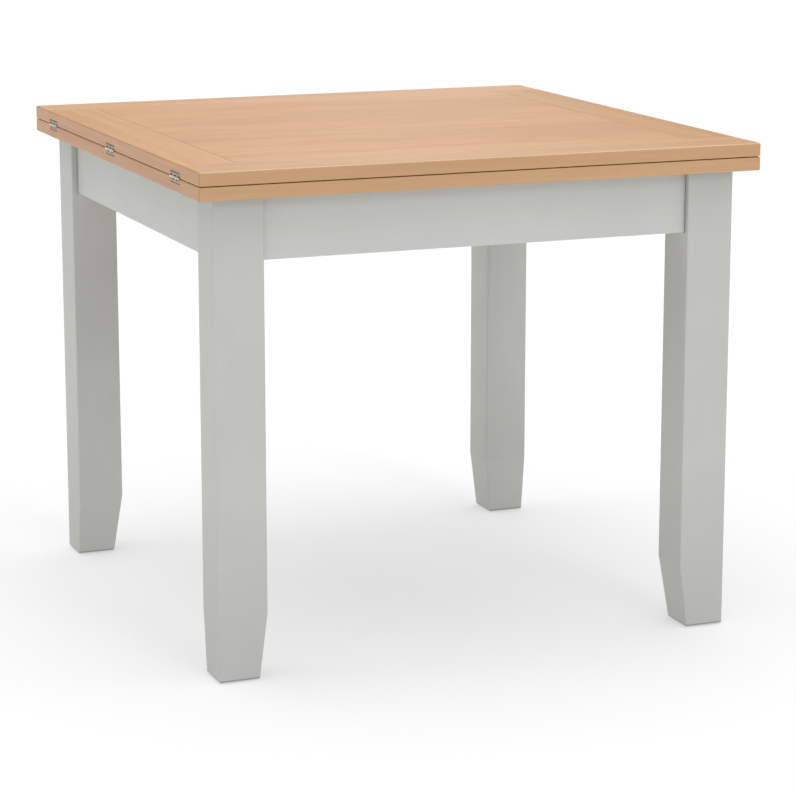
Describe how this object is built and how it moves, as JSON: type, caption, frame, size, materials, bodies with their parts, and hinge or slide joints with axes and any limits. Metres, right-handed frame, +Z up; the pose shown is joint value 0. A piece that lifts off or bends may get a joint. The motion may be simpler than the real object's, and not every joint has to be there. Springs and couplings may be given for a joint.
{
  "type": "swivel extending table",
  "caption": "Square dining table with two hinged wooden leaves; the stacked top swivels a quarter turn on a grey base and folds open to double its length.",
  "frame": {"origin": "on the floor, under the middle of the closed top", "axes": "+Z up; -X towards the hinged edge of the two leaves; +Y towards the back, away from the side that the front apron faces"},
  "size_m": [0.9021, 0.9, 0.77],
  "materials": {
    "grey_lacquered_wood": "satin light warm grey lacquer",
    "raw_beech": "unfinished planed wood",
    "zinc_plated_steel": "zinc plated",
    "dark_nylon": "moulded nylon",
    "felt": "pressed felt",
    "white_nylon": "natural nylon",
    "oak_panel": "satin clear lacquer",
    "oak_border": "satin clear lacquer",
    "nickel_plated_steel": "satin nickel plate",
    "black_painted_steel": "black powder coat",
    "clear_bumper": "clear soft plastic"
  },
  "bodies": {
    "base": {"leg_front_left": "grey_lacquered_wood", "leg_front_right": "grey_lacquered_wood", "leg_back_left": "grey_lacquered_wood", "leg_back_right": "grey_lacquered_wood", "apron_front": "grey_lacquered_wood", "apron_back": "grey_lacquered_wood", "apron_left": "grey_lacquered_wood", "apron_right": "grey_lacquered_wood", "corner_block_front_left": "raw_beech", "corner_block_front_right": "raw_beech", "corner_block_back_left": "raw_beech", "corner_block_back_right": "raw_beech", "pivot_rail": "raw_beech", "rail_cleat_front": "raw_beech", "rail_cleat_back": "raw_beech", "leg_bolts": "zinc_plated_steel", "leg_bolt_washers": "zinc_plated_steel", "leg_bolt_nuts": "zinc_plated_steel", "corner_block_screws": "zinc_plated_steel", "cleat_screws": "zinc_plated_steel", "rail_screws": "zinc_plated_steel", "foot_glide_nails": "zinc_plated_steel", "foot_glides": "dark_nylon", "leg_felts": "felt", "apron_felts": "felt", "pivot_bush": "white_nylon", "thrust_disc": "white_nylon"},
    "lower_leaf": {"lower_panel": "oak_panel", "lower_rail_hinge": "oak_border", "lower_rail_free": "oak_border", "lower_rail_front": "oak_border", "lower_rail_back": "oak_border", "lower_splines": "raw_beech", "hinge_plate_lower_front": "nickel_plated_steel", "hinge_plate_lower_middle": "nickel_plated_steel", "hinge_plate_lower_back": "nickel_plated_steel", "hinge_screws_lower": "nickel_plated_steel", "hinge_pins": "nickel_plated_steel", "swivel_plate": "black_painted_steel", "swivel_plate_screws": "zinc_plated_steel", "pivot_bolt": "zinc_plated_steel", "pivot_washer": "zinc_plated_steel", "pivot_spring_washer": "zinc_plated_steel", "pivot_lock_nut": "zinc_plated_steel", "stop_pin": "zinc_plated_steel", "leaf_bumpers": "clear_bumper"},
    "upper_leaf": {"upper_panel": "oak_panel", "upper_rail_hinge": "oak_border", "upper_rail_free": "oak_border", "upper_rail_front": "oak_border", "upper_rail_back": "oak_border", "upper_splines": "raw_beech", "hinge_plate_upper_front": "nickel_plated_steel", "hinge_plate_upper_middle": "nickel_plated_steel", "hinge_plate_upper_back": "nickel_plated_steel", "hinge_screws_upper": "nickel_plated_steel"}
  },
  "joints": [
    {"name": "top_swivel", "type": "hinge", "parent": "base", "child": "lower_leaf", "pos_m": [-0.225, 0.225, 0.71], "axis": [0, 0, 1], "range_deg": [0, 90]},
    {"name": "leaf_fold", "type": "hinge", "parent": "lower_leaf", "child": "upper_leaf", "pos_m": [-0.4503, 0, 0.7489], "axis": [0, -1, 0], "range_deg": [0, 180]}
  ]
}
